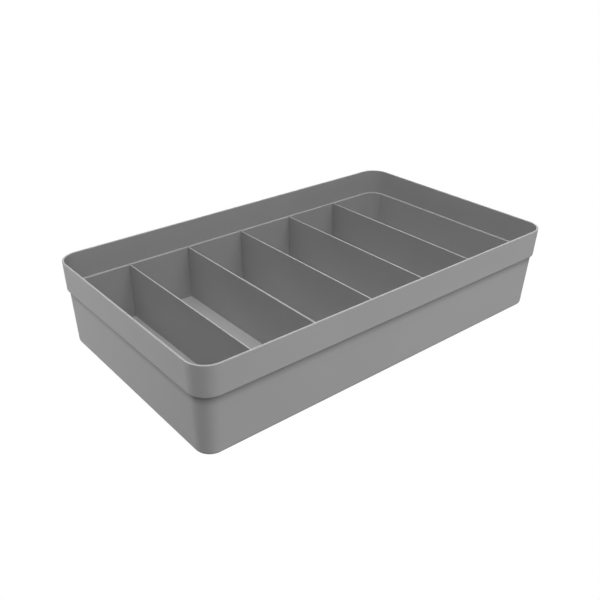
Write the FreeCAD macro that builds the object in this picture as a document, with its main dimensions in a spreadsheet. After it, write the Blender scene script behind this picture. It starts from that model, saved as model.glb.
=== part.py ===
import FreeCAD, Part
import math
import os
import Sketcher

# Drawer organizer insert: an open-topped injection moulded tray and five upright dividers that
# stand in shallow slots in its long walls and lift straight out.
#
# Frame: millimetres, +Z up, +X along the tray, +Y across it. The origin is the middle of the
# underside, which rests on the drawer's bottom.

SIZES = {
    # tray, outside
    "tray_length": 400,  # over the rim, along X
    "tray_width": 231,  # over the rim, along Y
    "tray_height": 82,
    "rim_radius": 19.2,  # corner of the rim, seen from above
    "wall": 1.8,  # side walls
    "base": 1.2,  # panel under the compartments
    # the upper band, which stands out from the walls below it
    "band_depth": 28.2,  # from the rim down to the band's underside
    "shelf_width": 2,  # how far the band stands out
    "band_draft": 2.4,  # degrees
    "body_draft": 2.8,  # degrees, the walls below the band
    # roundings
    "lip_round": 0.35,  # both edges of the rim
    "band_round": 1.7,  # lower outside edge of the band
    "ledge_round": 0.4,  # inner edge of the ledge
    "underside_round": 3,  # outside edge of the underside
    "floor_round": 1.2,  # inside, where the walls meet the base panel
    # dividers
    "divider_count": 5,
    "divider_pitch": 65.2,
    "divider_thickness": 1.4,
    "divider_round": 0.25,  # long edges of a divider's top
    "divider_corner": 1.5,  # lower corners of a divider
    # slots in the long walls
    "slot_depth": 1,
    "slot_side_gap": 0.15,  # each side of a divider
    "slot_end_gap": 0.3,  # each end of a divider
    "slot_overrun": 1,  # how far the slot's cut runs up past the ledge
}

# Heights and half sizes that follow from the sizes above, as expressions for the document.
SHELF_Z = "(Sizes.tray_height - Sizes.band_depth)"
LEDGE_Z = f"({SHELF_Z} + Sizes.wall)"
BAND_LEAN = "(Sizes.band_depth * tan(Sizes.band_draft * 1 deg))"
BODY_INSET = f"({BAND_LEAN} + Sizes.shelf_width)"
HOLLOW_INSET = f"({BODY_INSET} + Sizes.wall)"
HOLLOW_DEPTH = f"({LEDGE_Z} - Sizes.base)"
HOLLOW_LEAN = f"({HOLLOW_DEPTH} * tan(Sizes.body_draft * 1 deg))"
HOLLOW_HALF_TOP = f"(Sizes.tray_width / 2 - {HOLLOW_INSET})"
HOLLOW_HALF_FLOOR = f"({HOLLOW_HALF_TOP} - {HOLLOW_LEAN})"
FIRST_DIVIDER_X = "(-Sizes.divider_pitch * (Sizes.divider_count - 1) / 2)"

RIGHT_ANGLE = math.pi / 2

doc = FreeCAD.newDocument("drawer_organizer")


def vec(x, y, z=0):
    return FreeCAD.Vector(x, y, z)


def make_sheet():
    """The spreadsheet of driving dimensions: a name and a plain number to a row."""
    sheet = doc.addObject("Spreadsheet::Sheet", "Sizes")
    for row, (alias, value) in enumerate(SIZES.items(), start=1):
        sheet.set(f"A{row}", alias)
        sheet.set(f"B{row}", str(value))
        sheet.setAlias(f"B{row}", alias)
    doc.recompute()
    return sheet


def number(expression):
    """An expression's value, as a plain float."""
    return float(sheet.evalExpression(expression))


def new_body(name):
    body = doc.addObject("PartDesign::Body", name)
    body.Label = name
    return body


def origin_feature(body, role):
    return next(f for f in body.Origin.OriginFeatures if f.Role == role)


def new_sketch(body, name, role, offset=None):
    """A sketch on one of the body's own origin planes, moved along the plane's normal."""
    sketch = body.newObject("Sketcher::SketchObject", name)
    sketch.AttachmentSupport = [(origin_feature(body, role), "")]
    sketch.MapMode = "FlatFace"
    if offset:
        sketch.setExpression("AttachmentOffset.Base.z", offset)
    return sketch


def bind(sketch, kind, places, expression, name):
    """Adds a dimension to a sketch, names it and ties it to an expression."""
    index = sketch.addConstraint(Sketcher.Constraint(kind, *places, abs(number(expression))))
    sketch.renameConstraint(index, name)
    sketch.setExpression(f"Constraints.{name}", expression)


def rounded_rectangle(sketch, length, width, radius):
    """Four sides and four equal corner arcs, centred on the sketch's origin."""
    half_x = number(length) / 2
    half_y = number(width) / 2
    r = number(radius)
    corners = [(1, -1), (1, 1), (-1, 1), (-1, -1)]
    arcs = []
    for turn, (sx, sy) in enumerate(corners):
        circle = Part.Circle(vec(sx * (half_x - r), sy * (half_y - r)), vec(0, 0, 1), r)
        start = (turn - 1) * RIGHT_ANGLE
        arcs.append(sketch.addGeometry(Part.ArcOfCircle(circle, start, start + RIGHT_ANGLE)))
    lines = []
    for turn in range(4):
        here = sketch.Geometry[arcs[turn]].EndPoint
        there = sketch.Geometry[arcs[(turn + 1) % 4]].StartPoint
        lines.append(sketch.addGeometry(Part.LineSegment(here, there)))
    for turn in range(4):
        following = arcs[(turn + 1) % 4]
        sketch.addConstraint(Sketcher.Constraint("Tangent", arcs[turn], 2, lines[turn], 1))
        sketch.addConstraint(Sketcher.Constraint("Tangent", lines[turn], 2, following, 1))
        side = "Vertical" if turn % 2 == 0 else "Horizontal"
        sketch.addConstraint(Sketcher.Constraint(side, lines[turn]))
        if turn:
            sketch.addConstraint(Sketcher.Constraint("Equal", arcs[0], arcs[turn]))
    centre = (-1, 1)
    sketch.addConstraint(Sketcher.Constraint("Symmetric", arcs[0], 3, arcs[2], 3, *centre))
    bind(sketch, "DistanceX", (lines[2], 2, lines[0], 1), length, "outline_length")
    bind(sketch, "DistanceY", (lines[3], 1, lines[1], 1), width, "outline_width")
    bind(sketch, "Radius", (arcs[0],), radius, "corner_radius")


def plate_outline(sketch, top_half, foot_half, top_z, foot_z):
    """A plate's outline in a plane across the tray: wider at the top, symmetric about its middle."""
    corners = [
        vec(-number(foot_half), number(foot_z)),
        vec(number(foot_half), number(foot_z)),
        vec(number(top_half), number(top_z)),
        vec(-number(top_half), number(top_z)),
    ]
    sides = []
    for i in range(4):
        sides.append(sketch.addGeometry(Part.LineSegment(corners[i], corners[(i + 1) % 4])))
    for i in range(4):
        sketch.addConstraint(Sketcher.Constraint("Coincident", sides[i], 2, sides[(i + 1) % 4], 1))
    upright_axis = -2
    for side in (sides[0], sides[2]):
        sketch.addConstraint(Sketcher.Constraint("Symmetric", side, 1, side, 2, upright_axis))
    origin = (-1, 1)
    bind(sketch, "DistanceX", (sides[0], 1, sides[0], 2), f"2 * {foot_half}", "foot_length")
    bind(sketch, "DistanceX", (sides[2], 2, sides[2], 1), f"2 * {top_half}", "top_length")
    bind(sketch, "DistanceY", (*origin, sides[0], 1), foot_z, "foot_height")
    bind(sketch, "DistanceY", (*origin, sides[2], 1), top_z, "top_height")


def edge_near(feature, point):
    """The name of the feature's edge that passes closest to a point."""
    vertex = Part.Vertex(point)
    distances = [edge.distToShape(vertex)[0] for edge in feature.Shape.Edges]
    return f"Edge{distances.index(min(distances)) + 1}"


def round_edges(body, name, base, points, radius):
    """A fillet along the edges that pass through the points, and along what runs on from them."""
    fillet = body.newObject("PartDesign::Fillet", name)
    fillet.Base = (base, [edge_near(base, point) for point in points])
    fillet.setExpression("Radius", radius)
    doc.recompute()
    return fillet


def drafted(body, kind, name, top_z, depth, inset, draft):
    """A pad or a pocket down from a rounded rectangle that narrows as it goes down."""
    sketch = new_sketch(body, f"{name}_outline", "XY_Plane", top_z)
    rounded_rectangle(
        sketch,
        f"Sizes.tray_length - 2 * {inset}",
        f"Sizes.tray_width - 2 * {inset}",
        f"Sizes.rim_radius - {inset}",
    )
    feature = body.newObject(f"PartDesign::{kind}", name)
    feature.Profile = sketch
    feature.Reversed = kind == "Pad"
    feature.setExpression("Length", depth)
    feature.setExpression("TaperAngle", f"-{draft}")
    doc.recompute()
    return feature


def front_point(z, inset, lean="0"):
    """The middle of the front of an outline at a height, that far in from the rim's outline."""
    half = number("Sizes.tray_width / 2") - number(inset) - number(lean)
    return vec(0, -half, number(z))


def make_tray():
    """The moulded tray: walls, outward band with its inner ledge, base panel, roundings, slots."""
    body = new_body("tray")
    drafted(body, "Pad", "lower_walls", SHELF_Z, SHELF_Z, BODY_INSET, "Sizes.body_draft")
    band = drafted(
        body, "Pad", "band", "Sizes.tray_height", "Sizes.band_depth", "0", "Sizes.band_draft"
    )
    outer_lean = f"({SHELF_Z} * tan(Sizes.body_draft * 1 deg))"
    under = round_edges(
        body,
        "underside_rounding",
        band,
        [front_point("0", BODY_INSET, outer_lean)],
        "Sizes.underside_round",
    )
    below_band = round_edges(
        body,
        "band_rounding",
        under,
        [front_point(SHELF_Z, BAND_LEAN)],
        "Sizes.band_round",
    )
    before = below_band.Shape.Volume
    mouth_depth = f"(Sizes.tray_height - {LEDGE_Z})"
    drafted(
        body, "Pocket", "mouth", "Sizes.tray_height", mouth_depth, "Sizes.wall", "Sizes.band_draft"
    )
    hollow = drafted(
        body, "Pocket", "hollow", LEDGE_Z, HOLLOW_DEPTH, HOLLOW_INSET, "Sizes.body_draft"
    )
    if hollow.Shape.Volume > before / 2:
        raise RuntimeError("the tray's pockets cut nothing")
    floor = round_edges(
        body,
        "floor_rounding",
        hollow,
        [front_point("Sizes.base", HOLLOW_INSET, HOLLOW_LEAN)],
        "Sizes.floor_round",
    )
    ledge = round_edges(
        body, "ledge_rounding", floor, [front_point(LEDGE_Z, HOLLOW_INSET)], "Sizes.ledge_round"
    )
    lip = round_edges(
        body,
        "lip_rounding",
        ledge,
        [front_point("Sizes.tray_height", "0"), front_point("Sizes.tray_height", "Sizes.wall")],
        "Sizes.lip_round",
    )
    cut_slots(body, lip)
    return body


def cut_slots(body, before):
    """One slot across both long walls for the first divider, and its copies for the others."""
    run_up = "Sizes.slot_overrun"
    rise = f"({run_up} * tan(Sizes.body_draft * 1 deg))"
    sketch = new_sketch(body, "slot_outline", "YZ_Plane", FIRST_DIVIDER_X)
    plate_outline(
        sketch,
        f"({HOLLOW_HALF_TOP} + Sizes.slot_depth + {rise})",
        f"({HOLLOW_HALF_FLOOR} + Sizes.slot_depth)",
        f"({LEDGE_Z} + {run_up})",
        "Sizes.base",
    )
    slot = body.newObject("PartDesign::Pocket", "slot")
    slot.Profile = sketch
    slot.SideType = "Symmetric"
    slot.setExpression("Length", "Sizes.divider_thickness + 2 * Sizes.slot_side_gap")
    doc.recompute()
    row = body.newObject("PartDesign::LinearPattern", "slot_row")
    row.Originals = [slot]
    row.Direction = (origin_feature(body, "X_Axis"), [""])
    row.Mode = "Spacing"
    row.setExpression("Offset", "Sizes.divider_pitch")
    row.setExpression("Occurrences", "Sizes.divider_count")
    body.Tip = row
    doc.recompute()
    if not row.Shape.Volume < slot.Shape.Volume < before.Shape.Volume:
        raise RuntimeError("a slot cut nothing")


def make_divider(position):
    """A flat plate, its top flush with the tray's ledge and its foot on the base panel."""
    body = new_body(f"divider_{position}")
    reach = "(Sizes.slot_depth - Sizes.slot_end_gap)"
    sketch = new_sketch(body, f"plate_{position}_outline", "YZ_Plane")
    plate_outline(
        sketch,
        f"({HOLLOW_HALF_TOP} + {reach})",
        f"({HOLLOW_HALF_FLOOR} + {reach})",
        LEDGE_Z,
        "Sizes.base",
    )
    plate = body.newObject("PartDesign::Pad", f"plate_{position}")
    plate.Profile = sketch
    plate.SideType = "Symmetric"
    plate.setExpression("Length", "Sizes.divider_thickness")
    doc.recompute()
    half_foot = number(f"{HOLLOW_HALF_FLOOR} + {reach}")
    half_thickness = number("Sizes.divider_thickness / 2")
    foot_z = number("Sizes.base")
    top_z = number(LEDGE_Z)
    corners = round_edges(
        body,
        f"lower_corners_{position}",
        plate,
        [vec(0, -half_foot, foot_z), vec(0, half_foot, foot_z)],
        "Sizes.divider_corner",
    )
    round_edges(
        body,
        f"top_edges_{position}",
        corners,
        [vec(-half_thickness, 0, top_z), vec(half_thickness, 0, top_z)],
        "Sizes.divider_round",
    )
    body.setExpression(
        "Placement.Base.x", f"{FIRST_DIVIDER_X} + {position - 1} * Sizes.divider_pitch"
    )
    return body


def check_document(bodies):
    """Every object has recomputed, and every piece is one valid solid."""
    doc.recompute()
    for item in doc.Objects:
        if "Invalid" in item.State or "Error" in item.State:
            raise RuntimeError(f"{item.Name} failed: {item.State}")
    for body in bodies:
        shape = body.Shape
        if shape.isNull() or not shape.isValid() or len(shape.Solids) != 1:
            raise RuntimeError(f"{body.Label} isn't one valid solid")


sheet = make_sheet()
pieces = [make_tray()]
for position in range(1, int(number("Sizes.divider_count")) + 1):
    pieces.append(make_divider(position))
check_document(pieces)
os.makedirs("parts", exist_ok=True)
for piece in pieces:
    piece.Shape.exportStep(os.path.join("parts", f"{piece.Label}.step"))
    box = piece.Shape.BoundBox
    print(f"{piece.Label}: {piece.Shape.Volume / 1000:.1f} cm3, z {box.ZMin:.2f} to {box.ZMax:.2f}")
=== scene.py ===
"""Drawer organizer insert: one moulded tray and five lift-out dividers, on a plain white floor."""

import math

import bmesh
import bpy
import numpy as np
from mathutils import Matrix, Vector


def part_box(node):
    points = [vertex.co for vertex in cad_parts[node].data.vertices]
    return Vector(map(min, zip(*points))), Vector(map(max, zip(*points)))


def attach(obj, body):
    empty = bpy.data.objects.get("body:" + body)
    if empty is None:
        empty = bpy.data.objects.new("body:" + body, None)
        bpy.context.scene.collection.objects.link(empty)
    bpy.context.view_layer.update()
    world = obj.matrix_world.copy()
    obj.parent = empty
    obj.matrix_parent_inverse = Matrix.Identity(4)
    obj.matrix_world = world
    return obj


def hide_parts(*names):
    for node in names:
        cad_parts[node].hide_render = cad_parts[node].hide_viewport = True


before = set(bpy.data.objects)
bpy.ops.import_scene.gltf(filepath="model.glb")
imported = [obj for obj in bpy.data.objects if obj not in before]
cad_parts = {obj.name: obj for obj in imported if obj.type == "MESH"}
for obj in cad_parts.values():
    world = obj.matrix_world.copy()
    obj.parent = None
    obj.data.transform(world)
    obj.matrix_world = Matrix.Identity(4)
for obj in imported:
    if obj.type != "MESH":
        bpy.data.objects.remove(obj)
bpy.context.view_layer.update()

MM = 0.001

# ---------------------------------------------------------------- sizes of the moulded pieces

RIM_RADIUS = 19.2 * MM  # corner of the rim, seen from above
WALL = 1.8 * MM
SHELF_WIDTH = 2.0 * MM  # how far the band stands out from the walls below it
BAND_DRAFT = math.radians(2.4)
BODY_DRAFT = math.radians(2.8)
LIP_ROUND = 0.35 * MM
BAND_ROUND = 1.7 * MM
LEDGE_ROUND = 0.4 * MM
UNDERSIDE_ROUND = 3.0 * MM
FLOOR_ROUND = 1.2 * MM
INNER_CORNER_ROUND = 0.3 * MM  # where the band's underside and the ledge meet the walls
SLOT_DEPTH = 1.0 * MM
SLOT_SIDE_GAP = 0.15 * MM
DIVIDER_ROUND = 0.25 * MM
DIVIDER_CORNER = 1.5 * MM
DIVIDER_TIP = 0.5 * MM  # upper corners of a divider, hidden in the slots
GATE_RADIUS = 5.0 * MM  # dished gate mark in the middle of the underside
GATE_DEPTH = 0.35 * MM

# How finely the roundings are cut.
FILLET_STEPS = 8
CORNER_STEPS = 32
GUARD = 0.12 * MM  # a row this far from each rounding keeps the flat beside it flat
GUARD_PLAN = 0.6 * MM

divider_nodes = sorted(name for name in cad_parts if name.startswith("divider_"))
divider_boxes = [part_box(name) for name in divider_nodes]
tray_low, tray_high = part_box("tray")

TRAY_HEIGHT = tray_high.z
LEDGE_Z = divider_boxes[0][1].z
FLOOR_Z = divider_boxes[0][0].z
SHELF_Z = LEDGE_Z - WALL
# The lip's rounding takes this much off the rim's overall size, because the band leans outwards.
LIP_LOSS = LIP_ROUND * (1 / math.cos(BAND_DRAFT) + math.tan(BAND_DRAFT) - 1)
HALF_LENGTH = tray_high.x + LIP_LOSS
HALF_WIDTH = tray_high.y + LIP_LOSS
BODY_INSET = (TRAY_HEIGHT - SHELF_Z) * math.tan(BAND_DRAFT) + SHELF_WIDTH
HOLLOW_INSET = BODY_INSET + WALL
FOOT_INSET = BODY_INSET + SHELF_Z * math.tan(BODY_DRAFT)


# ---------------------------------------------------------------- shapes


def rounded(corners, radii, closed=False, steps=FILLET_STEPS, guard=GUARD):
    """A line through corners (n, 2) with each one rounded.

    At a corner P with unit vectors u and v towards its neighbours, and half the angle between them
    called h, the arc of radius r has its centre at P + (u + v) / |u + v| * r / sin h and touches the
    sides r / tan h from P. Its points turn evenly from one touching point to the other, with a guard
    point on each side. The ends of an open line are kept. Returns the points and their normals,
    which point to the right of the way travelled.
    """
    corners = np.asarray(corners, float)
    count = len(corners)
    points, normals = [], []
    for i in range(count):
        here = corners[i]
        if not closed and i in (0, count - 1):
            along = corners[1] - here if i == 0 else here - corners[-2]
            along = along / np.linalg.norm(along)
            points.append(here[None])
            normals.append(np.array([[along[1], -along[0]]]))
            continue
        u = corners[i - 1] - here
        v = corners[(i + 1) % count] - here
        u, v = u / np.linalg.norm(u), v / np.linalg.norm(v)
        half = math.acos(np.clip(u @ v, -1, 1)) / 2
        r = radii[i]
        reach = r / math.tan(half)
        centre = here + (u + v) / np.linalg.norm(u + v) * r / math.sin(half)
        start = (here + u * reach - centre) / r
        end = (here + v * reach - centre) / r
        turn = math.pi - 2 * half
        w = np.linspace(0, 1, steps + 1)[:, None]
        arms = (start * np.sin((1 - w) * turn) + end * np.sin(w * turn)) / math.sin(turn)
        side = 1.0 if u[0] * v[1] - u[1] * v[0] < 0 else -1.0
        before, after = here + u * (reach + guard), here + v * (reach + guard)
        points.append(np.vstack([before, centre + r * arms, after]))
        normals.append(side * np.vstack([start, arms, end]))
    return np.vstack(points), np.vstack(normals)


def grid_faces(rows, columns):
    """The faces of a grid of points numbered row by row, whose columns close on themselves."""
    row = np.arange(rows - 1)[:, None] * columns
    here = np.arange(columns)[None]
    there = (here + 1) % columns
    corners = np.stack([row + here, row + there, row + columns + there, row + columns + here], -1)
    return corners.reshape(-1, 4)


def make_piece(name, points, faces, material, sharp_angle=math.radians(32)):
    """A smooth mesh from points and faces, with doubled points merged and its faces outwards."""
    mesh = bpy.data.meshes.new(name)
    mesh.from_pydata(points.reshape(-1, 3).tolist(), [], [list(face) for face in faces])
    work = bmesh.new()
    work.from_mesh(mesh)
    bmesh.ops.remove_doubles(work, verts=work.verts, dist=1e-7)
    bmesh.ops.dissolve_degenerate(work, edges=work.edges, dist=1e-8)
    bmesh.ops.recalc_face_normals(work, faces=work.faces)
    if work.calc_volume(signed=True) < 0:
        bmesh.ops.reverse_faces(work, faces=work.faces)
    work.to_mesh(mesh)
    work.free()
    mesh.shade_smooth()
    mesh.set_sharp_from_angle(angle=sharp_angle)
    mesh.materials.append(material)
    piece = bpy.data.objects.new(name, mesh)
    bpy.context.scene.collection.objects.link(piece)
    return piece


# ---------------------------------------------------------------- the tray


def tray_stations():
    """The way round the tray: skeleton points, outward normals, and which stations lie in a slot.

    A point of the tray's skin at a station is skeleton + normal * (rim radius - inset). Along a side
    the skeleton runs straight from one corner's centre to the next and the normal stays; round a
    corner the skeleton stays at the centre and the normal turns. Each edge of a slot has two
    stations in the same place, one outside the slot and one in it.
    """
    half_x, half_y = HALF_LENGTH - RIM_RADIUS, HALF_WIDTH - RIM_RADIUS
    half_slot = (divider_boxes[0][1].x - divider_boxes[0][0].x) / 2 + SLOT_SIDE_GAP
    slot_x = np.array([(low.x + high.x) / 2 for low, high in divider_boxes])
    edges = np.stack([slot_x - half_slot] * 2 + [slot_x + half_slot] * 2, -1)
    in_slot = np.tile([False, True, True, False], (len(slot_x), 1))
    long_x = np.concatenate([[-half_x + GUARD_PLAN], edges.ravel(), [half_x - GUARD_PLAN]])
    long_slot = np.concatenate([[False], in_slot.ravel(), [False]])
    short_y = np.array([-half_y + GUARD_PLAN, half_y - GUARD_PLAN])

    turns = np.linspace(0, math.pi / 2, CORNER_STEPS + 1)
    skeleton, normal, slot = [], [], []

    def side(points, direction, slots):
        skeleton.append(points)
        normal.append(np.tile(direction, (len(points), 1)))
        slot.append(slots)

    def corner(sign_x, sign_y, first_angle):
        angles = first_angle + turns
        skeleton.append(np.tile([sign_x * half_x, sign_y * half_y], (len(angles), 1)))
        normal.append(np.stack([np.cos(angles), np.sin(angles)], -1))
        slot.append(np.zeros(len(angles), bool))

    none = np.zeros(len(short_y), bool)
    side(np.stack([long_x, np.full_like(long_x, -half_y)], -1), [0, -1], long_slot)
    corner(1, -1, -math.pi / 2)
    side(np.stack([np.full_like(short_y, half_x), short_y], -1), [1, 0], none)
    corner(1, 1, 0)
    side(np.stack([long_x[::-1], np.full_like(long_x, half_y)], -1), [0, 1], long_slot[::-1])
    corner(-1, 1, math.pi / 2)
    side(np.stack([np.full_like(short_y, -half_x), short_y[::-1]], -1), [-1, 0], none)
    corner(-1, -1, math.pi)
    return np.vstack(skeleton), np.vstack(normal), np.concatenate(slot)


def tray_sections():
    """The tray wall's cross-section as (inset from the rim's outline, height), twice.

    It runs from the underside up the outside, over the lip, down the band's inside, across the ledge
    and down the wall to the base panel. The second copy is the one in a slot: below the ledge each
    of its points is at the same height, but on the slot's back, SLOT_DEPTH further out.
    """
    slope_band, slope_body = math.tan(BAND_DRAFT), math.tan(BODY_DRAFT)
    underside = FOOT_INSET
    hollow_foot = HOLLOW_INSET + (LEDGE_Z - FLOOR_Z) * slope_body
    mouth_foot = WALL + (TRAY_HEIGHT - LEDGE_Z) * slope_band
    slot_line = HOLLOW_INSET - SLOT_DEPTH
    outside = [
        ((underside + 2 * UNDERSIDE_ROUND, 0), 0),
        ((underside, 0), UNDERSIDE_ROUND),
        ((BODY_INSET, SHELF_Z), INNER_CORNER_ROUND),
        ((BODY_INSET - SHELF_WIDTH, SHELF_Z), BAND_ROUND),
        ((0, TRAY_HEIGHT), LIP_ROUND),
        ((WALL, TRAY_HEIGHT), LIP_ROUND),
        ((mouth_foot, LEDGE_Z), INNER_CORNER_ROUND),
        ((slot_line, LEDGE_Z), 0),
    ]
    inside = [
        ((slot_line, LEDGE_Z), 0),
        ((HOLLOW_INSET, LEDGE_Z), LEDGE_ROUND),
        ((hollow_foot, FLOOR_Z), FLOOR_ROUND),
        ((hollow_foot + 2 * FLOOR_ROUND, FLOOR_Z), 0),
    ]
    outer, _ = rounded([p for p, _ in outside], [r for _, r in outside], guard=GUARD / 2)
    inner, _ = rounded([p for p, _ in inside], [r for _, r in inside], guard=GUARD / 2)
    floor_start = inner[-2:]  # the guard point and the end, both on the base panel
    inner = inner[1:-2]
    back = np.stack([slot_line + (LEDGE_Z - inner[:, 1]) * slope_body, inner[:, 1]], -1)
    touch = inner[-1:]
    plain = np.vstack([outer, inner, touch, floor_start])
    slotted = np.vstack([outer, back, touch, floor_start])
    return plain, slotted


def panel_rows(outline, height, shares, dish=()):
    """Rows that close a flat panel from its outline to its middle.

    Each row is the outline scaled by a share. The rows of a dish follow: circles of a given radius
    and height, at the outline's own polar angles, the last of them a single point.
    """
    rows = [np.column_stack([outline * share, np.full(len(outline), height)]) for share in shares]
    angle = np.arctan2(outline[:, 1], outline[:, 0])
    for radius, z in dish:
        rows.append(
            np.stack([radius * np.cos(angle), radius * np.sin(angle), np.full_like(angle, z)], -1)
        )
    return rows


def make_tray(material):
    """The moulded tray as one closed skin: its section carried round the tray, and two panels."""
    skeleton, normal, in_slot = tray_stations()
    plain, slotted = tray_sections()
    section = np.where(in_slot[None, :, None], slotted[:, None], plain[:, None])
    flat = skeleton[None] + normal[None] * (RIM_RADIUS - section[..., :1])
    wall = np.concatenate([flat, section[..., 1:]], -1)
    shares = (0.8, 0.55, 0.3)
    dish = ((1.6 * GATE_RADIUS, 0), (1.06 * GATE_RADIUS, 0), (GATE_RADIUS, 0.05 * GATE_DEPTH),
            (0.85 * GATE_RADIUS, GATE_DEPTH), (0.22 * GATE_RADIUS, GATE_DEPTH),
            (0.16 * GATE_RADIUS, 0.3 * GATE_DEPTH), (0, 0.3 * GATE_DEPTH))
    underside = panel_rows(wall[0, :, :2], 0, shares, dish)[::-1]
    floor = panel_rows(wall[-1, :, :2], FLOOR_Z, shares, ((0, FLOOR_Z),))
    points = np.concatenate([np.stack(underside), wall, np.stack(floor)])
    rows, columns = points.shape[:2]
    return make_piece("moulded_tray", points, grid_faces(rows, columns), material)


# ---------------------------------------------------------------- the dividers


def make_divider(name, low, high, material):
    """A divider plate: its rounded outline carried across its thickness, with both faces closed.

    A point of its edge is outline - outward normal * e at a place x across the thickness, where
    (x, e) runs round a section whose two corners are rounded.
    """
    half_top = high.y
    half_foot = half_top - (LEDGE_Z - FLOOR_Z) * math.tan(BODY_DRAFT)
    outline, outward = rounded(
        [(half_foot, low.z), (half_top, high.z), (-half_top, high.z), (-half_foot, low.z)],
        [DIVIDER_CORNER, DIVIDER_TIP, DIVIDER_TIP, DIVIDER_CORNER],
        closed=True,
    )
    half = (high.x - low.x) / 2
    land = 2 * DIVIDER_ROUND
    across, _ = rounded(
        [(half, land), (half, 0), (-half, 0), (-half, land)],
        [0, DIVIDER_ROUND, DIVIDER_ROUND, 0],
        steps=FILLET_STEPS // 2,
        guard=GUARD / 2,
    )
    edge = outline[None] - outward[None] * across[:, None, 1:]
    middle = (low.x + high.x) / 2
    x = np.broadcast_to(middle + across[:, None, :1], edge.shape[:2] + (1,))
    points = np.concatenate([x, edge], -1)
    rows, columns = points.shape[:2]
    faces = [list(face) for face in grid_faces(rows, columns)]
    faces.append(list(range(columns)))
    faces.append(list(range((rows - 1) * columns, rows * columns)))
    return make_piece(name, points, faces, material)


# ---------------------------------------------------------------- materials


class Value:
    """A shader value that adds a Math node for each operator used on it."""

    def __init__(self, tree, socket):
        self.tree = tree
        self.socket = socket

    def math(self, operation, first, second):
        return self.tree.node("Math", {"operation": operation}, {0: first, 1: second})

    def __add__(self, other):
        return self.math("ADD", self, other)

    def __sub__(self, other):
        return self.math("SUBTRACT", self, other)

    def __rsub__(self, other):
        return self.math("SUBTRACT", other, self)

    def __mul__(self, other):
        return self.math("MULTIPLY", self, other)

    __radd__ = __add__
    __rmul__ = __mul__


class Shader:
    """The nodes of one material or of the world."""

    def __init__(self, owner):
        owner.use_nodes = True
        self.nodes = owner.node_tree.nodes
        self.links = owner.node_tree.links
        self.nodes.clear()

    def node(self, kind, settings=None, inputs=None, output=0):
        """A node of a type, its settings set first, then its sockets' values or links."""
        made = self.nodes.new("ShaderNode" + kind)
        for setting, value in (settings or {}).items():
            setattr(made, setting, value)
        for socket, value in (inputs or {}).items():
            if isinstance(value, Value):
                self.links.new(value.socket, made.inputs[socket])
            else:
                made.inputs[socket].default_value = value
        return Value(self, made.outputs[output]) if made.outputs else None

    def noise(self, place, scale, detail=2.0, roughness=0.5):
        inputs = {"Vector": place, "Scale": scale, "Detail": detail, "Roughness": roughness}
        return self.node("TexNoise", {}, inputs)

    def between(self, value, low, high):
        """0 below low, 1 above high, and smooth between."""
        settings = {"interpolation_type": "SMOOTHSTEP", "clamp": True}
        return self.node("MapRange", settings, {"Value": value, "From Min": low, "From Max": high})


def outside_skin(shader, place, inset):
    """1 where the skin is nearer the rim's outline than an inset, 0 well inside it, corners too.

    The distance outwards is the length of what is left of (|x|, |y|) beyond the corners' centres, so
    it grows evenly off the sides and round the corners alike.
    """
    half_x, half_y = HALF_LENGTH - RIM_RADIUS, HALF_WIDTH - RIM_RADIUS
    folded = shader.node("VectorMath", {"operation": "ABSOLUTE"}, {0: place})
    past = shader.node(
        "VectorMath", {"operation": "SUBTRACT"}, {0: folded, 1: (half_x, half_y, 1.0)}
    )
    past = shader.node("VectorMath", {"operation": "MAXIMUM"}, {0: past, 1: (0, 0, 0)})
    out = shader.node("VectorMath", {"operation": "LENGTH"}, {0: past}, "Value")
    return shader.between(out, RIM_RADIUS - inset - 0.6 * MM, RIM_RADIUS - inset)


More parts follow.
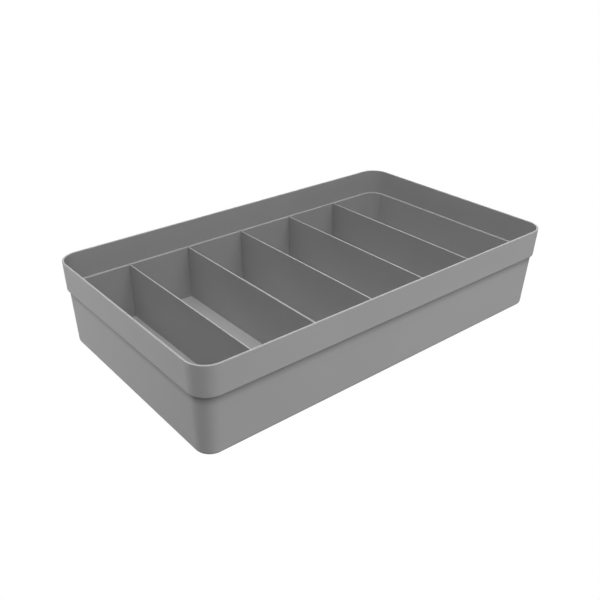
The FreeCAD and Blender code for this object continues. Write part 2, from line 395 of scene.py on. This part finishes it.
def moulded_plastic(name, light, dark, rubbed_from, rubbed_to, painted_shade_heights=None):
    """Matte moulded polypropylene.

    Fine spark-eroded grain in the surface, slow changes of tone along the melt's flow, fine specks
    of pigment, and a smoother, slightly paler skin where fingers and contents rub the top edges.
    The last argument, a pair of heights, adds painted shade: on the outside, the skin is darkened
    from the lower height up to the upper one, standing in for the shade under the band.
    """
    material = bpy.data.materials.new(name)
    shader = Shader(material)
    place = shader.node("TexCoord", output="Object")
    height = shader.node("SeparateXYZ", {}, {"Vector": place}, "Z")
    clouds = shader.noise(place, 14.0, 3.0)
    flow_place = shader.node(
        "Mapping", {"vector_type": "POINT"}, {"Vector": place, "Scale": (9.0, 34.0, 22.0)}
    )
    flow = shader.noise(flow_place, 1.0, 2.0)
    specks = shader.noise(place, 1400.0, 1.0)
    rubbed = shader.between(height, rubbed_from, rubbed_to)
    worn = rubbed * shader.between(shader.noise(place, 160.0, 2.0), 0.35, 0.65)
    tone = clouds * 0.5 + flow * 0.3 + specks * 0.2 + worn * 0.25
    colour = shader.node(
        "Mix",
        {"data_type": "RGBA", "clamp_factor": True},
        {0: shader.between(tone, 0.2, 0.8), 6: (*dark, 1), 7: (*light, 1)},
        2,
    )
    if painted_shade_heights:
        # painted shade under the band: rises to 1 at the upper height and drops back to 0 just above
        # it
        painted_shade_mask = shader.between(height, *painted_shade_heights) * (
            1 - shader.between(height, painted_shade_heights[1], painted_shade_heights[1] + 0.4 * MM)
        )
        # the outer skin here is half a wall or more outside the inner one
        painted_shade_mask = painted_shade_mask * outside_skin(shader, place, HOLLOW_INSET - WALL / 2)
        patchy = 0.8 + 0.4 * shader.noise(place, 55.0, 3.0)
        # mixes the painted shade under the band into the colour, a little unevenly
        colour = shader.node(
            "Mix",
            {"data_type": "RGBA", "clamp_factor": True},
            {0: painted_shade_mask * patchy, 6: colour, 7: (*PAINTED_SHADE_GREY, 1)},
            2,
        )
    grain = shader.noise(place, 3200.0, 2.0, 0.6)
    pits = shader.node("TexVoronoi", {}, {"Vector": place, "Scale": 2300.0}, "Distance")
    relief = grain * 0.6 + pits * 0.4
    bump = shader.node(
        "Bump", {}, {"Strength": 0.22, "Distance": 0.00003, "Height": relief}
    )
    rough = 0.5 + clouds * 0.06 + grain * 0.08 - worn * 0.07
    surface = shader.node(
        "BsdfPrincipled",
        {},
        {"Base Color": colour, "Roughness": rough, "IOR": 1.49, "Normal": bump},
    )
    shader.node("OutputMaterial", {}, {"Surface": surface})
    return material


# grey of the painted shade on the outside just under the band
PAINTED_SHADE_GREY = (0.16, 0.16, 0.16)
PAINTED_SHADE_DEPTH = 9.0 * MM  # how far below the band the painted shade reaches
TRAY_LIGHT, TRAY_DARK = (0.25, 0.25, 0.25), (0.23, 0.23, 0.23)
DIVIDER_LIGHT, DIVIDER_DARK = (0.247, 0.247, 0.247), (0.227, 0.227, 0.227)

tray_plastic = moulded_plastic(
    "tray_plastic",
    TRAY_LIGHT,
    TRAY_DARK,
    TRAY_HEIGHT - 1.5 * MM,
    TRAY_HEIGHT - 0.2 * MM,
    # painted shade on the outside, from this far below the band's underside up to it
    painted_shade_heights=(SHELF_Z - PAINTED_SHADE_DEPTH, SHELF_Z),
)
divider_plastic = moulded_plastic(
    "divider_plastic", DIVIDER_LIGHT, DIVIDER_DARK, LEDGE_Z - 1.2 * MM, LEDGE_Z - 0.1 * MM
)

tray = make_tray(tray_plastic)
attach(tray, "tray_body")
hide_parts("tray")
for node, (low, high) in zip(divider_nodes, divider_boxes):
    plate = make_divider(node.replace("divider_", "divider_plate_"), low, high, divider_plastic)
    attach(plate, node + "_body")
    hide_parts(node)


# ---------------------------------------------------------------- floor, light and camera

FLOOR_SIDE = 60.0
FLOOR_DROP = 0.05 * MM  # keeps the floor from touching the underside


def make_floor():
    """A plain white floor, large enough to fill the view, evenly bright like a light table."""
    half = FLOOR_SIDE / 2
    corners = np.array([(-half, -half), (half, -half), (half, half), (-half, half)])
    points = np.column_stack([corners, np.full(4, tray_low.z - FLOOR_DROP)])
    mesh = bpy.data.meshes.new("floor")
    mesh.from_pydata(points.tolist(), [], [[0, 1, 2, 3]])
    material = bpy.data.materials.new("white_floor")
    shader = Shader(material)
    surface = shader.node(
        "BsdfPrincipled",
        {},
        {"Base Color": (0, 0, 0, 1), "Roughness": 1.0, "Specular IOR Level": 0.0,
         "Emission Color": (1, 1, 1, 1), "Emission Strength": 1.0},
    )
    shader.node("OutputMaterial", {}, {"Surface": surface})
    mesh.materials.append(material)
    floor = bpy.data.objects.new("floor", mesh)
    # Only seen: what it would reflect onto the object comes from the soft lights below it.
    floor.visible_diffuse = floor.visible_glossy = False
    floor.visible_transmission = floor.visible_shadow = False
    bpy.context.scene.collection.objects.link(floor)


LIGHT_CORE = math.cos(math.radians(8))  # half the width of a soft light's bright middle
LIGHT_EDGE = math.cos(math.radians(34))  # half the width out to where it has faded away

# Each soft light: the azimuth it comes from and its elevation, in degrees, and its strength.
SOFT_LIGHTS = [
    # overhead, mostly on the viewer's side
    (225, 60, 3.0),
    (315, 60, 2.0),
    (135, 60, 2.0),
    (180, 60, 1.0),
    (270, 60, 2.0),
    # low, behind the tray
    (45, 12, 4.0),
    # the white table's glow, from beneath
    (315, -15, 2.0),
    (135, -15, 3.0),
    (90, -15, 1.0),
    (270, -15, 2.0),
]


def light_room():
    """Soft lights by direction, fading at their edges, behind a plain white backdrop."""
    world = bpy.data.worlds.new("studio")
    bpy.context.scene.world = world
    shader = Shader(world)
    direction = shader.node("TexCoord", output="Generated")
    strength = 0.0
    for azimuth, elevation, power in SOFT_LIGHTS:
        a, e = math.radians(azimuth), math.radians(elevation)
        towards = (math.cos(a) * math.cos(e), math.sin(a) * math.cos(e), math.sin(e))
        facing = shader.node(
            "VectorMath", {"operation": "DOT_PRODUCT"}, {0: direction, 1: towards}, "Value"
        )
        strength = strength + shader.between(facing, LIGHT_EDGE, LIGHT_CORE) * power
    seen = shader.node("LightPath", output="Is Camera Ray")
    strength = strength * (1 - seen) + seen
    background = shader.node("Background", {}, {"Color": (1, 1, 1, 1), "Strength": strength})
    shader.node("OutputWorld", {}, {"Surface": background})


CAMERA_PLACE = Vector((-411.04, -462.69, 355.06)) * MM
CAMERA_TURN = math.radians(-38.146)  # from looking along +Y
CAMERA_TILT = math.radians(90 - 26.970)
CAMERA_ROLL = math.radians(-0.159)
CAMERA_LENS = 43.771
CAMERA_SHIFT = (0.0486, -0.0311)


def make_camera():
    data = bpy.data.cameras.new("camera")
    data.lens = CAMERA_LENS
    data.shift_x, data.shift_y = CAMERA_SHIFT
    data.clip_start, data.clip_end = 0.01, 100
    camera = bpy.data.objects.new("camera", data)
    camera.matrix_world = (
        Matrix.Translation(CAMERA_PLACE)
        @ Matrix.Rotation(CAMERA_TURN, 4, "Z")
        @ Matrix.Rotation(CAMERA_TILT, 4, "X")
        @ Matrix.Rotation(CAMERA_ROLL, 4, "Z")
    )
    bpy.context.scene.collection.objects.link(camera)
    bpy.context.scene.camera = camera


make_floor()
light_room()
make_camera()
bpy.context.scene.view_settings.view_transform = "Standard"
